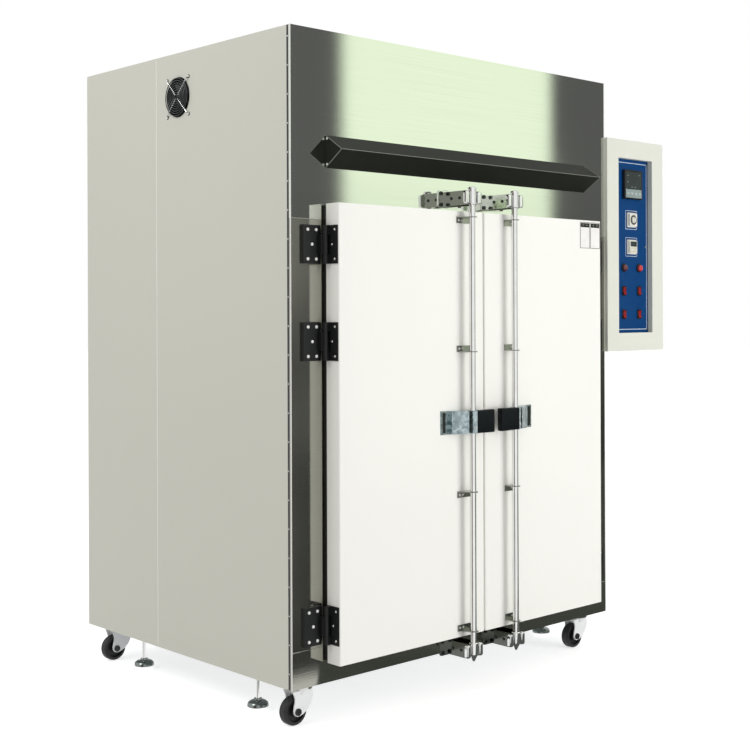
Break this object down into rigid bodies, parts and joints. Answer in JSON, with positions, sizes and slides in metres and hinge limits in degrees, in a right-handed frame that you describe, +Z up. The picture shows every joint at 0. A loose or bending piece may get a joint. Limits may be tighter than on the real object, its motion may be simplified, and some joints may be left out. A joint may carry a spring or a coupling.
{
  "type": "drying oven",
  "caption": "Tall industrial drying oven on casters with double doors, lock rods, a heat deflector, a side fan outlet and a side control box.",
  "frame": {"origin": "middle of the whole object's box, on the floor under the casters", "axes": "+Z up, -Y is the front with the doors, +X is the side with the control box"},
  "size_m": [1.6112, 1.105, 1.808],
  "materials": {
    "grey_body_paint": "satin powder coat, warm light grey",
    "galvanised_sheet": "plain galvanised sheet",
    "stainless_front": "bright brushed stainless steel, grain along the sheet",
    "stainless_inside": "satin stainless steel",
    "black_paint": "satin black powder coat",
    "plated_steel": "bright zinc-plated steel",
    "black_hinge": "black coated cast metal",
    "black_plastic": "moulded black plastic",
    "chromed_wire": "bright chromed wire",
    "cream_paint": "satin cream powder coat",
    "blue_panel": "printed blue foil, satin",
    "controller_case": "dark grey moulded plastic",
    "timer_case": "off-white moulded plastic",
    "lamp_red": "glossy red lens in a dark bezel",
    "rocker_red": "glossy red key in a black bezel",
    "caster_steel": "bright zinc-plated pressing",
    "door_paint": "satin off-white powder coat",
    "seal_rubber": "black silicone rubber",
    "zinc": "spangled zinc coat",
    "chromed_rod": "polished chrome",
    "grip_plastic": "smooth black plastic sleeve",
    "white_plate": "blank white plate with a dark head",
    "caster_fork": "white coated pressing",
    "caster_wheel": "black rubber tread on a dark hub",
    "foot_chrome": "chromed foot and spindle"
  },
  "bodies": {
    "cabinet": {"left_front_side_panel": "grey_body_paint", "left_rear_side_panel": "grey_body_paint", "right_front_side_panel": "grey_body_paint", "right_rear_side_panel": "grey_body_paint", "rear_panel": "grey_body_paint", "top_panel": "grey_body_paint", "bottom_panel": "galvanised_sheet", "header_panel": "stainless_front", "left_stile": "stainless_front", "right_stile": "stainless_front", "sill_panel": "stainless_front", "chamber_left_wall": "stainless_inside", "chamber_right_wall": "stainless_inside", "chamber_ceiling": "stainless_inside", "chamber_floor": "stainless_inside", "chamber_back": "stainless_inside", "heat_deflector": "black_paint", "rod_keepers": "plated_steel", "frame_hinges": "black_hinge", "fan_frame": "black_plastic", "fan_guard": "chromed_wire", "control_box": "cream_paint", "control_panel": "blue_panel", "temperature_controller": "controller_case", "timers": "timer_case", "panel_lamps": "lamp_red", "rocker_switches": "rocker_red", "caster_plates": "caster_steel"},
    "fan": {"fan_rotor": "black_plastic"},
    "left_door": {"left_door_pan": "door_paint", "left_door_liner": "stainless_inside", "left_door_seal": "seal_rubber", "left_door_hinges": "black_hinge", "left_rod_guides": "plated_steel", "left_latch_cover": "zinc"},
    "left_lock": {"left_lock_rod": "chromed_rod", "left_handle_hub": "zinc", "left_handle_grip": "grip_plastic"},
    "right_door": {"right_door_pan": "door_paint", "right_door_liner": "stainless_inside", "right_door_seal": "seal_rubber", "right_door_hinges": "black_hinge", "right_rod_guides": "plated_steel", "right_latch_cover": "zinc", "blank_plates": "white_plate"},
    "right_lock": {"right_lock_rod": "chromed_rod", "right_handle_hub": "zinc", "right_handle_grip": "grip_plastic"},
    "front_left_fork": {"front_left_caster_fork": "caster_fork"},
    "front_left_wheel": {"front_left_caster_wheel": "caster_wheel"},
    "front_left_levelling_foot": {"front_left_foot": "foot_chrome"},
    "front_right_fork": {"front_right_caster_fork": "caster_fork"},
    "front_right_wheel": {"front_right_caster_wheel": "caster_wheel"},
    "front_right_levelling_foot": {"front_right_foot": "foot_chrome"},
    "rear_left_fork": {"rear_left_caster_fork": "caster_fork"},
    "rear_left_wheel": {"rear_left_caster_wheel": "caster_wheel"},
    "rear_left_levelling_foot": {"rear_left_foot": "foot_chrome"},
    "rear_right_fork": {"rear_right_caster_fork": "caster_fork"},
    "rear_right_wheel": {"rear_right_caster_wheel": "caster_wheel"},
    "rear_right_levelling_foot": {"rear_right_foot": "foot_chrome"}
  },
  "joints": [
    {"name": "left_door_swing", "type": "hinge", "parent": "cabinet", "child": "left_door", "pos_m": [-0.69935, -0.4675, 0.1625], "axis": [0, 0, -1], "range_deg": [0, 105]},
    {"name": "right_door_swing", "type": "hinge", "parent": "cabinet", "child": "right_door", "pos_m": [0.41465, -0.4675, 0.1625], "axis": [0, 0, 1], "range_deg": [0, 105]},
    {"name": "left_rod_turn", "type": "hinge", "parent": "left_door", "child": "left_lock", "pos_m": [-0.21635, -0.5355, 0.7655], "axis": [0, 0, -1], "range_deg": [0, 90]},
    {"name": "right_rod_turn", "type": "hinge", "parent": "right_door", "child": "right_lock", "pos_m": [-0.03735, -0.5355, 0.7655], "axis": [0, 0, 1], "range_deg": [0, 90]},
    {"name": "fan_spin", "type": "hinge", "parent": "cabinet", "child": "fan", "pos_m": [-0.79635, 0.0545, 1.683], "axis": [1, 0, 0], "continuous": true},
    {"name": "front_left_caster_swivel", "type": "hinge", "parent": "cabinet", "child": "front_left_fork", "pos_m": [-0.72235, -0.3905, 0.09], "axis": [0, 0, 1], "continuous": true},
    {"name": "front_left_wheel_roll", "type": "hinge", "parent": "front_left_fork", "child": "front_left_wheel", "pos_m": [-0.74935, -0.3905, 0.0375], "axis": [0, 1, 0], "continuous": true},
    {"name": "front_right_caster_swivel", "type": "hinge", "parent": "cabinet", "child": "front_right_fork", "pos_m": [0.42565, -0.3905, 0.09], "axis": [0, 0, 1], "continuous": true},
    {"name": "front_right_wheel_roll", "type": "hinge", "parent": "front_right_fork", "child": "front_right_wheel", "pos_m": [0.39865, -0.3905, 0.0375], "axis": [0, 1, 0], "continuous": true},
    {"name": "rear_left_caster_swivel", "type": "hinge", "parent": "cabinet", "child": "rear_left_fork", "pos_m": [-0.72235, 0.4905, 0.09], "axis": [0, 0, 1], "continuous": true},
    {"name": "rear_left_wheel_roll", "type": "hinge", "parent": "rear_left_fork", "child": "rear_left_wheel", "pos_m": [-0.74935, 0.4905, 0.0375], "axis": [0, 1, 0], "continuous": true},
    {"name": "rear_right_caster_swivel", "type": "hinge", "parent": "cabinet", "child": "rear_right_fork", "pos_m": [0.42565, 0.4905, 0.09], "axis": [0, 0, 1], "continuous": true},
    {"name": "rear_right_wheel_roll", "type": "hinge", "parent": "rear_right_fork", "child": "rear_right_wheel", "pos_m": [0.39865, 0.4905, 0.0375], "axis": [0, 1, 0], "continuous": true},
    {"name": "front_left_foot_screw", "type": "slide", "parent": "cabinet", "child": "front_left_levelling_foot", "axis": [0, 0, 1], "range_m": [-0.012, 0.02]},
    {"name": "front_right_foot_screw", "type": "slide", "parent": "cabinet", "child": "front_right_levelling_foot", "axis": [0, 0, 1], "range_m": [-0.012, 0.02]},
    {"name": "rear_left_foot_screw", "type": "slide", "parent": "cabinet", "child": "rear_left_levelling_foot", "axis": [0, 0, 1], "range_m": [-0.012, 0.02]},
    {"name": "rear_right_foot_screw", "type": "slide", "parent": "cabinet", "child": "rear_right_levelling_foot", "axis": [0, 0, 1], "range_m": [-0.012, 0.02]}
  ]
}
